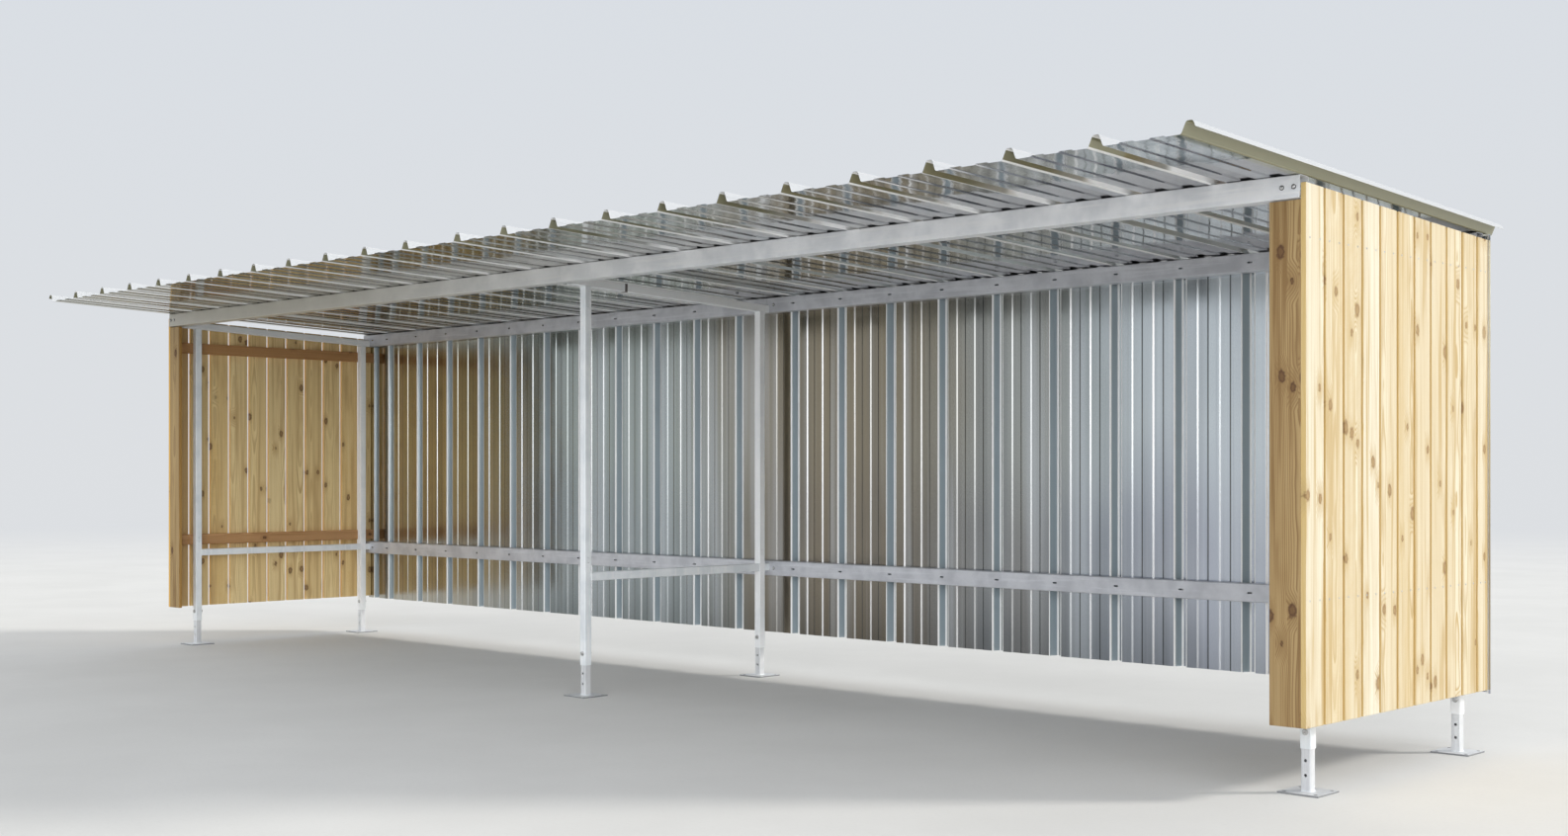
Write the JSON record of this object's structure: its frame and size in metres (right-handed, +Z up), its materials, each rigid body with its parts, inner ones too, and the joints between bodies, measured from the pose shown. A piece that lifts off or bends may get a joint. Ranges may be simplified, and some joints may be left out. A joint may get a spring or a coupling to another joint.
{
  "type": "bike shelter",
  "caption": "Open-fronted bicycle shelter: galvanised tube frames carry a profiled steel roof and rear wall, with boarded timber sides and adjustable feet",
  "frame": {"origin": "centre of the bounding box's bottom face, on the ground", "axes": "X runs along the shelter to the right as seen from its open front, which faces -Y; Z is up"},
  "size_m": [7.7696, 2.285, 2.1381],
  "materials": {
    "feet": "hot-dip galvanised",
    "frame_tube": "hot-dip galvanised",
    "channel": "galvanised strip",
    "wall_sheet": "galvanised, bright",
    "roof_sheet": "galvanised, bright",
    "timber_board": "planed pine, untreated",
    "timber_rail": "sawn pine, untreated"
  },
  "bodies": {
    "root": {"corner_board_left": "timber_board", "corner_board_right": "timber_board", "foot_left_front": "feet", "foot_left_rear": "feet", "foot_middle_front": "feet", "foot_middle_rear": "feet", "foot_right_front": "feet", "foot_right_rear": "feet", "front_purlin": "channel", "post_left_front": "frame_tube", "post_left_rear": "frame_tube", "post_middle_front": "frame_tube", "post_middle_rear": "frame_tube", "post_right_front": "frame_tube", "post_right_rear": "frame_tube", "rafter_left": "frame_tube", "rafter_middle": "frame_tube", "rafter_right": "frame_tube", "rear_purlin": "channel", "roof_sheet_left_1": "roof_sheet", "roof_sheet_left_2": "roof_sheet", "roof_sheet_left_3": "roof_sheet", "roof_sheet_left_4": "roof_sheet", "roof_sheet_right_1": "roof_sheet", "roof_sheet_right_2": "roof_sheet", "roof_sheet_right_3": "roof_sheet", "roof_sheet_right_4": "roof_sheet", "side_boards_left": "timber_board", "side_boards_right": "timber_board", "side_rails_left": "timber_rail", "side_rails_right": "timber_rail", "tie_left": "frame_tube", "tie_middle": "frame_tube", "tie_right": "frame_tube", "wall_rail": "channel", "wall_sheet_left_1": "wall_sheet", "wall_sheet_left_2": "wall_sheet", "wall_sheet_left_3": "wall_sheet", "wall_sheet_left_4": "wall_sheet", "wall_sheet_right_1": "wall_sheet", "wall_sheet_right_2": "wall_sheet", "wall_sheet_right_3": "wall_sheet", "wall_sheet_right_4": "wall_sheet", "wall_strip_left": "wall_sheet"}
  },
  "joints": []
}
